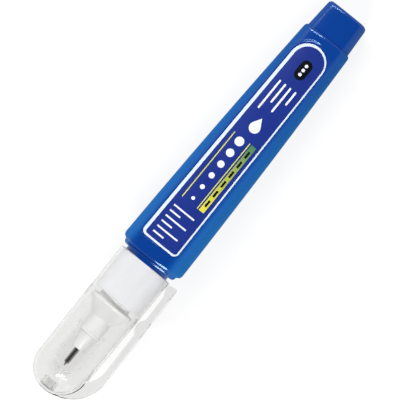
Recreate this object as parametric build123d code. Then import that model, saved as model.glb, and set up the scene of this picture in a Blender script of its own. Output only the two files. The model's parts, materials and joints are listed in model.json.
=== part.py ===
from build123d import *
import os
from math import atan2, cos, degrees, dist, pi, sin, sqrt

# A correction pen: a squeezable oval barrel of fluid with a tail plug and a label, a white collar and
# nozzle that hold a sprung needle valve in a metal tip, and a clear cap with a clip over them.
# Millimetres. Every piece is drawn round the pen's own long axis: x runs from the tail end to the tip,
# y points to the clip and z out of the labelled face. The finished pieces are then laid down on the
# barrel's back, so that the flat there lies in z = 0 with its middle at the origin.

# Fits
press_clearance = 0.02
fit_clearance = 0.05
slide_clearance = 0.05

# Barrel: an oval tube, crowned on all four sides, that widens towards the nose
barrel_length = 81.1
rear_width = 16.0
middle_width = 19.15
nose_width = 21.0
rear_depth = 13.4
nose_depth = 18.6
barrel_wall = 1.6
nose_wall = 1.6
face_crown_radius = 24.0
side_crown_radius = 16.0
barrel_corner = 2.6
cavity_corner = 1.0
rear_rim_round = 0.6
nose_rim_round = 1.5
back_flat_depth = 0.35

# Barrel's front end: a stepped shoulder, a round neck and the spigot that carries the collar
shoulder_inset = 1.3
shoulder_length = 1.3
shoulder_corner = 1.3
shoulder_round = 0.9
neck_radius = 7.4
neck_length = 1.0
spigot_radius = 6.3
spigot_setback = 2.5
spigot_wall = 1.4
snap_height = 0.25
snap_width = 1.4

# Tail plug: a tapered block whose stub fills the barrel's open rear end
tail_length = 9.6
tail_end_width = 13.4
tail_end_depth = 10.9
tail_front_width = 14.6
tail_front_depth = 12.0
tail_corner = 2.2
tail_end_round = 1.1
tail_wall = 1.5
tail_stub_length = 6.0

# Label: a film with a round tail end, in a recess of the barrel's upper face
label_rear_gap = 3.5
label_nose_gap = 4.3
label_rear_width = 11.2
label_nose_width = 12.8
label_corner = 1.6
label_thickness = 0.12
label_margin = 0.3
recess_depth = 0.3

# Mixing ball
ball_radius = 2.75
ball_gap = 0.2

# Collar: the white sleeve that the cap grips, as long as the nozzle and the cap's end leave room for
collar_radius = 7.85
collar_round = 0.6

# Nozzle: a plug in the spigot, then a groove, a flange, a cone, a stem with a sealing bead, and a taper
nozzle_plug_depth = 6.0
nozzle_plug_wall = 1.0
funnel_length = 8.0
groove_width = 1.9
groove_radius = 5.2
flange_radius = 7.1
flange_length = 0.8
cone_length = 4.4
stem_radius = 3.45
stem_length = 5.6
bead_radius = 3.7
bead_width = 0.9
taper_rear_radius = 2.9
taper_front_radius = 2.1
taper_length = 5.2
nozzle_lip = 2.4

# Tip tube: a metal tube whose sleeve seats in the nozzle from behind
tip_radius = 0.85
tip_reach = 5.3
tip_bore_radius = 0.62
tip_mouth_radius = 0.74
tip_cone_length = 0.2
orifice_radius = 0.3
orifice_length = 0.5
valve_cone_length = 0.4
sleeve_radius = 1.5
sleeve_length = 4.8
sleeve_bore_radius = 1.15
sleeve_end_wall = 0.6

# Valve needle
needle_reach = 0.9
needle_rod_radius = 0.24
needle_shaft_radius = 0.55
needle_flange_radius = 1.05
needle_flange_length = 0.8
needle_flange_gap = 1.9
needle_tail_radius = 0.5
needle_tail_length = 9.8
needle_point_round = 0.15
valve_gap = 0.03

# Needle spring and its seat
spring_length = 8.1
spring_turns = 10
spring_radius = 0.82
spring_wire_radius = 0.125
spring_end_gap = 0.02
seat_radius = 1.9
seat_length = 3.0
seat_hole_radius = 0.35
seat_hole_circle = 1.1
seat_hole_count = 4

# Cap: a slightly tapered tube with a round end, and a clip moulded on its +y side
cap_length = 46.8
cap_seat_gap = 0.1
cap_end_room = 9.3
cap_rim_radius = 8.85
cap_rim_round = 0.3
dome_radius = 8.5
cap_wall = 0.9
grip_allowance = 0.6
grip_step_length = 4.0
boss_radius = 2.4
boss_length = 3.0
boss_hole_depth = 2.4

# Clip: a springy tongue whose foot nearly touches the cap's rim
clip_width = 4.8
clip_thickness = 1.85
clip_setback = 0.1
clip_tip_gap = 1.2
clip_foot_gap = 0.25
clip_foot_length = 1.8
clip_foot_run = 2.2
clip_foot_round = 2.0
clip_root_gap = 2.2
clip_root_setback = 0.7
clip_bend_length = 6.2
clip_crown_run = 4.1
clip_tip_round = 0.6
clip_edge_round = 0.4
nub_place = 15.1
nub_length = 5.2
nub_gap = 0.5

# Inner seal: a closed tube in the cap that shuts round the nozzle's stem
seal_wall = 0.6
seal_overlap = 2.0
seal_bottom_gap = 1.5
seal_lip_height = 0.4
seal_lip_width = 0.9
seal_post_radius = 1.3

# Stations along the pen, from the tail end
barrel_rear = tail_length
barrel_middle = barrel_rear + barrel_length / 2
barrel_nose = barrel_rear + barrel_length
cavity_front = barrel_nose - nose_wall
shoulder_front = barrel_nose + shoulder_length
neck_front = shoulder_front + neck_length
cap_rim = neck_front + cap_seat_gap
cap_front = cap_rim + cap_length
dome_centre = cap_front - dome_radius
needle_front = cap_front - cap_end_room
tip_front = needle_front - needle_reach
nozzle_front = tip_front - tip_reach
stem_front = nozzle_front - taper_length
cone_front = stem_front - stem_length
flange_front = cone_front - cone_length
flange_rear = flange_front - flange_length
collar_front = flange_rear - groove_width
spigot_front = collar_front - spigot_setback
snap_middle = (neck_front + spigot_front) / 2
sleeve_front = nozzle_front - nozzle_lip
sleeve_rear = sleeve_front - sleeve_length
sleeve_floor = sleeve_front - sleeve_end_wall
needle_flange_front = sleeve_floor - needle_flange_gap
needle_flange_rear = needle_flange_front - needle_flange_length
seat_front = needle_flange_rear - spring_length

# Sizes that follow from the fits
middle_depth = (rear_depth + nose_depth) / 2
spigot_bore_radius = spigot_radius - spigot_wall
collar_bore_radius = spigot_radius + fit_clearance
nozzle_plug_radius = spigot_bore_radius - fit_clearance
cap_bore_radius = dome_radius - cap_wall
grip_bore_radius = collar_radius + slide_clearance
seal_bore_radius = bead_radius + slide_clearance
label_rear = barrel_rear + label_rear_gap
label_nose = barrel_nose - label_nose_gap

# Pose of the finished pen: the barrel's back turned level and set down on z = 0
lie_angle = degrees(atan2((nose_depth - rear_depth) / 2, barrel_length))
lay_down = Rot(0, -lie_angle, 0) * Pos(-barrel_middle, 0, middle_depth / 2 - back_flat_depth)


def oval(x, width, depth, corner, inset=0.0):
    """Closed outline across the pen at x: four crowned sides joined by corner arcs, drawn in by inset."""
    half_width = width / 2 - inset
    half_depth = depth / 2 - inset
    face_radius = face_crown_radius - inset
    side_radius = side_crown_radius - inset
    face_centre = Vector(x, 0, half_depth - face_radius)
    side_centre = Vector(x, half_width - side_radius, 0)
    # The corner's centre lies at a known distance from the centres of both crowns
    across = side_centre - face_centre
    face_reach = face_radius - corner
    side_reach = side_radius - corner
    along = (across.length**2 + face_reach**2 - side_reach**2) / (2 * across.length)
    aside = sqrt(face_reach**2 - along**2)
    unit = across.normalized()
    corner_centre = face_centre + unit * along + Vector(0, unit.Z, -unit.Y) * aside
    face_end = face_centre + (corner_centre - face_centre) * (face_radius / face_reach)
    side_end = side_centre + (corner_centre - side_centre) * (side_radius / side_reach)
    outward = ((face_end + side_end) * 0.5 - corner_centre).normalized()
    corner_middle = corner_centre + outward * corner

    def mirrored(point, y_sign, z_sign):
        return (x, y_sign * point.Y, z_sign * point.Z)

    arcs = []
    for y_sign, z_sign in ((1, 1), (1, -1), (-1, -1), (-1, 1)):
        from_face = (y_sign == z_sign)
        start, end = (face_end, side_end) if from_face else (side_end, face_end)
        corner_points = [mirrored(p, y_sign, z_sign) for p in (start, corner_middle, end)]
        arcs.append(ThreePointArc(*corner_points))
        if from_face:
            crown = (x, y_sign * half_width, 0)
            arcs.append(ThreePointArc(corner_points[2], crown, mirrored(side_end, y_sign, -z_sign)))
        else:
            crown = (x, 0, z_sign * half_depth)
            arcs.append(ThreePointArc(corner_points[2], crown, mirrored(face_end, -y_sign, z_sign)))
    return Wire(arcs)


def barrel_form(corner, inset=0.0):
    """The barrel's tapered oval as a solid, drawn in by inset all round."""
    return Part() + Solid.make_loft([
        oval(barrel_rear, rear_width, rear_depth, corner, inset),
        oval(barrel_middle, middle_width, middle_depth, corner, inset),
        oval(barrel_nose, nose_width, nose_depth, corner, inset),
    ])


def turned(*stations):
    """Solid turned about the pen's axis through (x, radius) stations, with flat ends."""
    outline = [(stations[0][0], 0), *stations, (stations[-1][0], 0)]
    return revolve(make_face(Polyline(*outline, close=True)), Axis.X)


def slab(x_from, x_to):
    """Block across the whole pen between two stations."""
    reach = 4 * (nose_width + nose_depth)
    return Pos((x_from + x_to) / 2, 0, 0) * Box(x_to - x_from, reach, reach)


def edges_at(piece, x):
    """Edges of a piece that lie in the plane across the pen at x."""
    return [e for e in piece.edges() if max(abs(v.X - x) for v in (e @ 0, e @ 0.5, e @ 1)) < 1e-4]


def label_prism(margin=0.0):
    """Upright block in the label's plan: a round tail end and a square nose end with soft corners."""
    rear_half = label_rear_width / 2 + margin
    nose_half = label_nose_width / 2 + margin
    tail, nose = label_rear - margin, label_nose + margin
    bend = tail + rear_half
    corner = label_corner + margin
    outline = Curve() + [
        ThreePointArc((bend, rear_half), (tail, 0), (bend, -rear_half)),
        Polyline((bend, -rear_half), (nose, -nose_half), (nose, nose_half), (bend, rear_half)),
    ]
    face = make_face(outline)
    nose_corners = [v for v in face.vertices() if v.X > nose - corner]
    return extrude(fillet(nose_corners, corner), nose_depth)


def make_barrel():
    body = barrel_form(barrel_corner)
    body = fillet(edges_at(body, barrel_nose), nose_rim_round)
    body = fillet(edges_at(body, barrel_rear), rear_rim_round)
    shoulder = extrude(
        make_face(oval(cavity_front, nose_width, nose_depth, shoulder_corner, shoulder_inset)),
        shoulder_front - cavity_front, dir=(1, 0, 0),
    )
    shoulder = fillet(edges_at(shoulder, shoulder_front), shoulder_round)
    neck = turned((cavity_front, neck_radius), (neck_front, neck_radius))
    spigot = turned(
        (cavity_front, spigot_radius),
        (snap_middle - snap_width / 2, spigot_radius),
        (snap_middle, spigot_radius + snap_height),
        (snap_middle + snap_width / 2, spigot_radius),
        (spigot_front, spigot_radius),
    )
    cavity = barrel_form(cavity_corner, barrel_wall) & slab(0, cavity_front)
    bore = turned((cavity_front - nose_wall, spigot_bore_radius), (spigot_front, spigot_bore_radius))
    recess = label_prism(label_margin) - barrel_form(barrel_corner, recess_depth)
    return body + shoulder + neck + spigot - cavity - bore - recess


def make_tail_plug():
    block = Part() + Solid.make_loft([
        oval(0, tail_end_width, tail_end_depth, tail_corner),
        oval(tail_length, tail_front_width, tail_front_depth, tail_corner),
    ], ruled=True)
    block = fillet(edges_at(block, 0), tail_end_round)
    stub_end = barrel_rear + tail_stub_length
    stub_inset = barrel_wall + fit_clearance
    stub = barrel_form(cavity_corner, stub_inset) & slab(0, stub_end)
    core_width = rear_width - 2 * (stub_inset + tail_wall)
    core_depth = rear_depth - 2 * (stub_inset + tail_wall)
    core = extrude(
        make_face(oval(tail_wall, core_width, core_depth, cavity_corner)),
        stub_end - tail_wall, dir=(1, 0, 0),
    )
    return block + stub - core


def make_front_label():
    top = barrel_form(barrel_corner, recess_depth - label_thickness)
    floor = barrel_form(barrel_corner, recess_depth)
    return (label_prism() & top) - floor


def make_mixing_ball():
    lift = middle_depth / 2 - barrel_wall - ball_gap - ball_radius
    return Pos(barrel_middle, 0, -lift) * Sphere(ball_radius)


def make_front_collar():
    sleeve = turned((neck_front, collar_radius), (collar_front, collar_radius))
    sleeve = fillet(edges_at(sleeve, collar_front), collar_round)
    bore = turned(
        (neck_front, collar_bore_radius),
        (snap_middle - snap_width / 2, collar_bore_radius),
        (snap_middle, collar_bore_radius + snap_height),
        (snap_middle + snap_width / 2, collar_bore_radius),
        (collar_front, collar_bore_radius),
    )
    return sleeve - bore


def make_nozzle():
    plug_rear = spigot_front - nozzle_plug_depth
    outside = turned(
        (plug_rear, nozzle_plug_radius),
        (spigot_front, nozzle_plug_radius),
        (spigot_front, spigot_radius),
        (collar_front, spigot_radius),
        (collar_front, groove_radius),
        (flange_rear, groove_radius),
        (flange_rear, flange_radius),
        (flange_front, flange_radius),
        (cone_front, stem_radius),
        (stem_front - bead_width, stem_radius),
        (stem_front - bead_width * 3 / 4, bead_radius),
        (stem_front - bead_width / 4, bead_radius),
        (stem_front, taper_rear_radius),
        (nozzle_front, taper_front_radius),
    )
    inside = turned(
        (plug_rear, nozzle_plug_radius - nozzle_plug_wall),
        (plug_rear + funnel_length, seat_radius),
        (seat_front, seat_radius),
        (seat_front, sleeve_radius),
        (sleeve_front, sleeve_radius),
        (sleeve_front, tip_radius + press_clearance),
        (nozzle_front, tip_radius + press_clearance),
    )
    return outside - inside


def make_tip_tube():
    outside = turned(
        (sleeve_rear, sleeve_radius - press_clearance),
        (sleeve_front, sleeve_radius - press_clearance),
        (sleeve_front, tip_radius),
        (tip_front - tip_cone_length, tip_radius),
        (tip_front, tip_mouth_radius),
    )
    orifice_rear = tip_front - orifice_length
    inside = turned(
        (sleeve_rear, sleeve_bore_radius),
        (sleeve_floor, sleeve_bore_radius),
        (sleeve_floor, tip_bore_radius),
        (orifice_rear - valve_cone_length, tip_bore_radius),
        (orifice_rear, orifice_radius),
        (tip_front, orifice_radius),
    )
    return outside - inside


def make_valve_needle():
    # The needle's cone has the slope of the tip's inner cone and stops just short of it
    slope = (tip_bore_radius - orifice_radius) / valve_cone_length
    seat_rear = tip_front - orifice_length - valve_cone_length
    cone_rear = seat_rear + (tip_bore_radius - needle_shaft_radius) / slope - valve_gap
    cone_end = cone_rear + (needle_shaft_radius - needle_rod_radius) / slope
    return turned(
        (needle_flange_rear - needle_tail_length, needle_tail_radius),
        (needle_flange_rear, needle_tail_radius),
        (needle_flange_rear, needle_flange_radius),
        (needle_flange_front, needle_flange_radius),
        (needle_flange_front, needle_shaft_radius),
        (cone_rear, needle_shaft_radius),
        (cone_end, needle_rod_radius),
        (needle_front - needle_point_round, needle_rod_radius),
        (needle_front, needle_rod_radius - needle_point_round),
    )


def spring_point(turn):
    """Point on the spring's wire after so many turns, and the wire's direction there."""
    first = seat_front + spring_end_gap + spring_wire_radius
    last = needle_flange_rear - spring_end_gap - spring_wire_radius
    pitch = (last - first) / spring_turns
    angle = 2 * pi * turn
    point = Vector(first + pitch * turn, spring_radius * cos(angle), spring_radius * sin(angle))
    turn_speed = 2 * pi * spring_radius
    heading = Vector(pitch, -turn_speed * sin(angle), turn_speed * cos(angle)).normalized()
    return point, heading


def make_needle_spring():
    # Each quarter turn is two arcs that meet smoothly halfway
    arcs = []
    for quarter in range(4 * spring_turns):
        start, start_heading = spring_point(quarter / 4)
        end, end_heading = spring_point((quarter + 1) / 4)
        span = end - start
        turn_loss = 2 * (1 - start_heading.dot(end_heading))
        lean = span.dot(start_heading + end_heading)
        reach = (sqrt(lean**2 + turn_loss * span.dot(span)) - lean) / turn_loss
        start_arm = start + start_heading * reach
        end_arm = end - end_heading * reach
        joint = (start_arm + end_arm) * 0.5
        arcs.append(TangentArc(start, joint, tangent=start_heading))
        arcs.append(TangentArc(joint, end, tangent=end_arm - start_arm))
    start, heading = spring_point(0)
    section = Plane(origin=start, z_dir=heading) * Circle(spring_wire_radius)
    return sweep(section, path=Wire(arcs))


def print_spring_gap():
    """Least gap between neighbouring turns of the wire, measured on points along it."""
    steps_per_turn = 48
    points = [spring_point(i / steps_per_turn)[0] for i in range(spring_turns * steps_per_turn + 1)]
    far_apart = steps_per_turn // 2
    least = min(
        dist(tuple(a), tuple(b))
        for i, a in enumerate(points)
        for b in points[i + far_apart:]
    )
    print(f"needle_spring: least gap between turns {least - 2 * spring_wire_radius:.3f} mm")


def make_spring_seat():
    seat_rear = seat_front - seat_length
    outer_radius = seat_radius - press_clearance
    seat = turned((seat_rear, outer_radius), (seat_front, outer_radius))
    guide_radius = needle_tail_radius + slide_clearance
    seat -= turned((seat_rear, guide_radius), (seat_front, guide_radius))
    hole = Pos((seat_rear + seat_front) / 2, 0, 0) * Rot(0, 90, 0) * Cylinder(seat_hole_radius, seat_length)
    for i in range(seat_hole_count):
        seat -= Rot(360 * i / seat_hole_count, 0, 0) * Pos(0, seat_hole_circle, 0) * hole
    return seat


def cap_outer_radius(x):
    """Radius of the cap's tapered tube at a station."""
    share = (x - cap_rim) / (dome_centre - cap_rim)
    return cap_rim_radius + (dome_radius - cap_rim_radius) * share


def cross_edges(plate, x):
    """Edges at a station that run across the clip."""
    return [e for e in plate.edges() if abs(e.center().X - x) < 1e-4 and abs(e.center().Z) < 1e-4]


def make_clip():
    tip = cap_rim + clip_setback
    gap_end = dome_centre - clip_root_setback
    bend = gap_end - clip_bend_length
    inner_tip = cap_outer_radius(tip) + clip_tip_gap
    inner_bend = cap_outer_radius(bend) + clip_root_gap
    slope = (inner_bend - inner_tip) / (bend - tip)
    crown = dome_centre - clip_crown_run

    def inner(x):
        return inner_tip + slope * (x - tip)

    foot_reach = cap_outer_radius(tip) + clip_foot_gap
    foot_front = tip + clip_foot_length
    foot_end = foot_front + clip_foot_run
    nub_middle = tip + nub_place
    nub_rear, nub_front = nub_middle - nub_length / 2, nub_middle + nub_length / 2
    nub_reach = cap_outer_radius(nub_middle) + nub_gap
    gap_floor = cap_outer_radius(gap_end) - cap_wall / 2
    crown_end = (cap_front - cap_wall / 2, 0)
    outline = Curve() + [
        Polyline(
            (tip, foot_reach),
            (foot_front, foot_reach),
            (foot_end, inner(foot_end)),
            (nub_rear, inner(nub_rear)),
        ),
        ThreePointArc((nub_rear, inner(nub_rear)), (nub_middle, nub_reach), (nub_front, inner(nub_front))),
        Line((nub_front, inner(nub_front)), (bend, inner_bend)),
        TangentArc((bend, inner_bend), (gap_end, gap_floor), tangent=(1, slope)),
        Polyline((gap_end, gap_floor), (dome_centre, 0), crown_end),
        TangentArc((crown, inner(crown) + clip_thickness), crown_end, tangent=(1, slope)),
        Polyline(
            (crown, inner(crown) + clip_thickness),
            (tip, inner_tip + clip_thickness),
            (tip, foot_reach),
        ),
    ]
    plate = extrude(make_face(outline), clip_width / 2, both=True)
    plate = fillet(cross_edges(plate, tip), clip_tip_round)
    plate = fillet(cross_edges(plate, foot_front) + cross_edges(plate, foot_end), clip_foot_round)
    side_edges = [e for e in plate.edges() if abs(abs((e @ 0.5).Z) - clip_width / 2) < 1e-4]
    return fillet(side_edges, clip_edge_round)


def make_cap():
    tube = turned((cap_rim, cap_rim_radius), (dome_centre, dome_radius))
    tube = fillet(edges_at(tube, cap_rim), cap_rim_round)
    shell = tube + Pos(dome_centre, 0, 0) * Sphere(dome_radius) + make_clip()
    grip_front = collar_front + grip_allowance
    hollow = turned(
        (cap_rim, grip_bore_radius),
        (grip_front, grip_bore_radius),
        (grip_front + grip_step_length, cap_bore_radius),
        (dome_centre, cap_bore_radius),
    )
    hollow += Pos(dome_centre, 0, 0) * Sphere(cap_bore_radius)
    boss_front = dome_centre + cap_bore_radius
    boss_rear = boss_front - boss_length
    hollow -= turned((boss_rear, boss_radius), (cap_front, boss_radius))
    hole_radius = seal_post_radius + press_clearance
    hollow += turned((boss_rear, hole_radius), (boss_rear + boss_hole_depth, hole_radius))
    return shell - hollow


def make_cap_inner_seal():
    mouth = stem_front - seal_overlap
    bottom = needle_front + seal_bottom_gap
    bore_centre = bottom - seal_bore_radius
    outer_radius = seal_bore_radius + seal_wall
    post_end = dome_centre + cap_bore_radius - boss_length + boss_hole_depth
    tube = turned(
        (mouth, outer_radius + seal_lip_height),
        (mouth + seal_lip_width, outer_radius + seal_lip_height),
        (mouth + seal_lip_width, outer_radius),
        (bore_centre, outer_radius),
    )
    tube += Pos(bore_centre, 0, 0) * Sphere(outer_radius)
    tube += turned((bore_centre, seal_post_radius), (post_end, seal_post_radius))
    bore = turned((mouth, seal_bore_radius), (bore_centre, seal_bore_radius))
    return tube - bore - Pos(bore_centre, 0, 0) * Sphere(seal_bore_radius)


pieces = {
    "barrel": make_barrel(),
    "tail_plug": make_tail_plug(),
    "front_label": make_front_label(),
    "mixing_ball": make_mixing_ball(),
    "front_collar": make_front_collar(),
    "nozzle": make_nozzle(),
    "tip_tube": make_tip_tube(),
    "valve_needle": make_valve_needle(),
    "needle_spring": make_needle_spring(),
    "spring_seat": make_spring_seat(),
    "cap": make_cap(),
    "cap_inner_seal": make_cap_inner_seal(),
}
pieces = {name: lay_down * piece for name, piece in pieces.items()}

# The flat on the barrel's back is cut once the pen lies level
floor_block = Pos(0, 0, -nose_depth / 2) * Box(4 * barrel_length, 4 * nose_width, nose_depth)
pieces["barrel"] -= floor_block

os.makedirs("parts", exist_ok=True)
for name, piece in pieces.items():
    export_step(piece, f"parts/{name}.step")
print_spring_gap()
print(f"lie angle {lie_angle:.4f} degrees")
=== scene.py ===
import json
from math import acos, atan2, cos, pi, radians, sin, sqrt, tan

import bmesh
import bpy
from mathutils import Matrix, Vector


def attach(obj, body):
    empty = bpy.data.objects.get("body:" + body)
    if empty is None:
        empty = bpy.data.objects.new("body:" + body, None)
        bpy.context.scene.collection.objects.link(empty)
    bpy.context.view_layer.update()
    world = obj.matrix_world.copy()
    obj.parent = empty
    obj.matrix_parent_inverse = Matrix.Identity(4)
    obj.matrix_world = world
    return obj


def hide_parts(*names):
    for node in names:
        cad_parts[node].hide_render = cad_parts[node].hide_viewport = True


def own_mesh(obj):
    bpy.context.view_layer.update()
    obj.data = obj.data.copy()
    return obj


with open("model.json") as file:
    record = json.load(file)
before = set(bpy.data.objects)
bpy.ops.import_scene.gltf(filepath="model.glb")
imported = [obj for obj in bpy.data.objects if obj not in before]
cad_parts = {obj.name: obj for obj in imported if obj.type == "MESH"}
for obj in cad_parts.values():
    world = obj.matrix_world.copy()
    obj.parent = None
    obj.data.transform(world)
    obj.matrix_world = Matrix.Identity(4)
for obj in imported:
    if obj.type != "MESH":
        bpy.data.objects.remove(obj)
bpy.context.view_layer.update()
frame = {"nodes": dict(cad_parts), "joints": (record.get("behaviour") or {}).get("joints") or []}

# Barrel: the squeezable reservoir, one moulding in blue polypropylene. It is an oval tube that widens to its
# bevelled nose, with a lipped bed for the label, a stepped shoulder, a round neck and a spigot in the collar.
# Sizes are millimetres in the pen's axes: x from the tail end to the tip, y to the clip, z out of the label.
MM = 0.001
tail_length = 9.6
barrel_length = 81.1
rear_width = 16.0
middle_width = 19.15
nose_width = 21.0
rear_depth = 13.4
nose_depth = 18.6
barrel_wall = 1.6
face_crown = 24.0
side_crown = 16.0
barrel_corner = 2.6
cavity_corner = 1.0
rear_rim_run = 1.2
rear_rim_drop = 0.5
nose_reach = 0.3
nose_side_round = 1.5
nose_bevel_run = 0.9
nose_bevel_drop = 0.25
nose_round = 0.45
back_flat = 0.35
shoulder_inset = 1.3
shoulder_length = 1.3
shoulder_bevel_run = 0.7
shoulder_bevel_drop = 0.19
shoulder_round = 0.35
shoulder_drop = 0.9
shoulder_side_round = 1.0
shoulder_fillet = 0.15
neck_radius = 7.4
neck_length = 1.0
spigot_radius = 6.3
spigot_length = 11.0
spigot_bore = 4.9
snap_height = 0.25
snap_width = 1.4
bed_depth = 0.3
bed_margin = 0.3
bed_slope = 0.2
bed_lip_height = 0.15
bed_lip_run = 0.8
bed_lip_fade = 0.85
bed_cut_height = 1.5
label_rear_gap = 3.5
label_nose_gap = 4.3
label_rear_half = 5.6
label_nose_half = 6.4
label_corner = 1.6
merge_gap = 0.002
sliver_size = 0.0005
crease_angle = 35

barrel_rear = tail_length
barrel_nose = barrel_rear + barrel_length
barrel_middle = (barrel_rear + barrel_nose) / 2
cavity_front = barrel_nose - barrel_wall
nose_edge = barrel_nose + nose_reach
shoulder_front = barrel_nose + shoulder_length
neck_front = shoulder_front + neck_length
spigot_front = neck_front + spigot_length
snap_middle = (neck_front + spigot_front) / 2
label_tail = barrel_rear + label_rear_gap
label_nose = barrel_nose - label_nose_gap

# The cap's joint runs along the pen's axis, which rises from the surface that the barrel's back lies on
pen_axis = Vector(next(j["axis"] for j in frame["joints"] if j["name"] == "cap_pull")).normalized()
pen_side = Vector((0, 1, 0))
pen_up = pen_axis.cross(pen_side)
axis_height = (rear_depth + nose_depth) / 4 - back_flat
lay = (
    Matrix((pen_axis, pen_side, pen_up)).transposed().to_4x4()
    @ Matrix.Diagonal((MM, MM, MM, 1))
    @ Matrix.Translation((-barrel_middle, 0, axis_height))
)


def spread(start, end, steps):
    """Evenly spaced values from start to end, both included."""
    return [start + (end - start) * i / steps for i in range(steps + 1)]


def oval(x, width, depth, corner, inset=0.0):
    """Ring of points across the pen at x: four crowned sides joined by corner arcs, drawn in by inset."""
    face_radius = face_crown - inset
    side_radius = side_crown - inset
    face = Vector((0, depth / 2 - inset - face_radius))
    side = Vector((width / 2 - inset - side_radius, 0))
    across = side - face
    face_reach = face_radius - corner
    side_reach = side_radius - corner
    along = (across.length_squared + face_reach**2 - side_reach**2) / (2 * across.length)
    aside = sqrt(face_reach**2 - along**2)
    unit = across.normalized()
    bend = face + unit * along + Vector((unit.y, -unit.x)) * aside
    face_angle = atan2(bend.y - face.y, bend.x - face.x)
    side_angle = atan2(bend.y - side.y, bend.x - side.x)
    quarter = []
    for centre, radius, start, end, steps in (
        (side, side_radius, 0, side_angle, 12),
        (bend, corner, side_angle, face_angle, 10),
        (face, face_radius, face_angle, pi / 2, 20),
    ):
        quarter += [centre + radius * Vector((cos(a), sin(a))) for a in spread(start, end, steps)[:-1]]
    quarter.append(face + Vector((0, face_radius)))
    back = quarter[::-1]
    ring = [(p.x, p.y) for p in quarter[:-1]] + [(-p.x, p.y) for p in back[:-1]]
    ring += [(-p.x, -p.y) for p in quarter[:-1]] + [(p.x, -p.y) for p in back[:-1]]
    return [Vector((x, y, z)) for y, z in ring]


def barrel_ring(x, corner, inset=0.0, pinch=0.0):
    """Ring of the barrel's tapered form at x, drawn in by inset all round and by pinch at its sides."""
    share = min(1, (x - barrel_rear) / barrel_length)
    width = (
        rear_width * (1 - share) * (1 - 2 * share)
        + middle_width * 4 * share * (1 - share)
        + nose_width * share * (2 * share - 1)
    )
    depth = rear_depth + (nose_depth - rear_depth) * share
    return oval(x, width - 2 * pinch, depth, corner, inset)


def side_inset(x):
    """How far the barrel's sides draw in at its nose and at its shoulder, seen from above."""
    if x < nose_edge:
        base, radius, front = 0, nose_side_round, barrel_nose
    else:
        base, radius, front = shoulder_inset, shoulder_side_round, shoulder_front
    reach = min(radius, max(0, x - front + radius))
    return min(base + shoulder_inset, base + radius - sqrt(radius**2 - reach**2))


def round_ring(x, radius):
    """Round ring with as many points as the ovals, at the same angles as the nose's."""
    angles = [atan2(p.z, p.y) for p in oval(0, nose_width, nose_depth, barrel_corner)]
    return [Vector((x, radius * cos(a), radius * sin(a))) for a in angles]


def eased(corners, closed=True, steps=6):
    """Outline through (x, radius, rounding) corners, where each rounding becomes an arc of a few steps."""
    outline = []
    count = len(corners)
    for i, (x, r, rounding) in enumerate(corners):
        here = Vector((x, r))
        if rounding == 0 or (not closed and i in (0, count - 1)):
            outline.append(here)
            continue
        back = (Vector(corners[i - 1][:2]) - here).normalized()
        ahead = (Vector(corners[(i + 1) % count][:2]) - here).normalized()
        half_turn = back.angle(ahead) / 2
        centre = here + (back + ahead).normalized() * (rounding / sin(half_turn))
        first = here + back * (rounding / tan(half_turn)) - centre
        last = here + ahead * (rounding / tan(half_turn)) - centre
        sweep = first.angle_signed(last)
        start = atan2(first.y, first.x)
        for share in spread(0, 1, steps):
            angle = start - sweep * share
            outline.append(centre + Vector((cos(angle), sin(angle))) * rounding)
    return outline + outline[:1] if closed else outline


def tidy_object(name, mesh):
    """Object of a mesh in metres: doubles merged, normals outwards, smooth but for its creases."""
    shape = bmesh.new()
    shape.from_mesh(mesh)
    bmesh.ops.remove_doubles(shape, verts=shape.verts, dist=merge_gap * MM)
    bmesh.ops.dissolve_degenerate(shape, edges=shape.edges, dist=sliver_size * MM)
    bmesh.ops.recalc_face_normals(shape, faces=shape.faces)
    shape.to_mesh(mesh)
    shape.free()
    mesh.shade_smooth()
    mesh.set_sharp_from_angle(angle=radians(crease_angle))
    made = bpy.data.objects.new(name, mesh)
    bpy.context.scene.collection.objects.link(made)
    return made


def wall(shape, near, far):
    """Faces that join two rings of points."""
    for corners in zip(near, near[1:] + near[:1], far[1:] + far[:1], far):
        shape.faces.new(corners)


def skin(name, rings, closed=False):
    """Object whose skin runs through rings of points, either closed on itself or capped at both ends."""
    shape = bmesh.new()
    rows = [[shape.verts.new(lay @ p) for p in ring] for ring in rings]
    for near, far in zip(rows, rows[1:]):
        wall(shape, near, far)
    if closed:
        wall(shape, rows[-1], rows[0])
    else:
        shape.faces.new(rows[0])
        shape.faces.new(rows[-1])
    mesh = bpy.data.meshes.new(name)
    shape.to_mesh(mesh)
    shape.free()
    return tidy_object(name, mesh)


def plain_mesh(piece):
    """The piece's mesh with its modifiers worked in, and none left on it."""
    evaluated = piece.evaluated_get(bpy.context.evaluated_depsgraph_get())
    mesh = bpy.data.meshes.new_from_object(evaluated)
    piece.modifiers.clear()
    return mesh


def combine(piece, operation, other, crease=crease_angle):
    """Cuts another object from the piece, or joins it on, and leaves the piece a plain mesh."""
    cut = piece.modifiers.new(operation, "BOOLEAN")
    cut.operation = operation
    cut.solver = "EXACT"
    cut.object = other
    piece.data = plain_mesh(piece)
    piece.data.shade_smooth()
    piece.data.set_sharp_from_angle(angle=radians(crease))
    bpy.data.objects.remove(other)


def face_height(x, y, inset=0.0):
    """Height of the barrel's upper face above the pen's axis, drawn in by inset."""
    share = (x - barrel_rear) / barrel_length
    radius = face_crown - inset
    half_depth = (rear_depth + (nose_depth - rear_depth) * share) / 2 - inset
    return half_depth - radius + sqrt(radius**2 - y**2)


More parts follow.
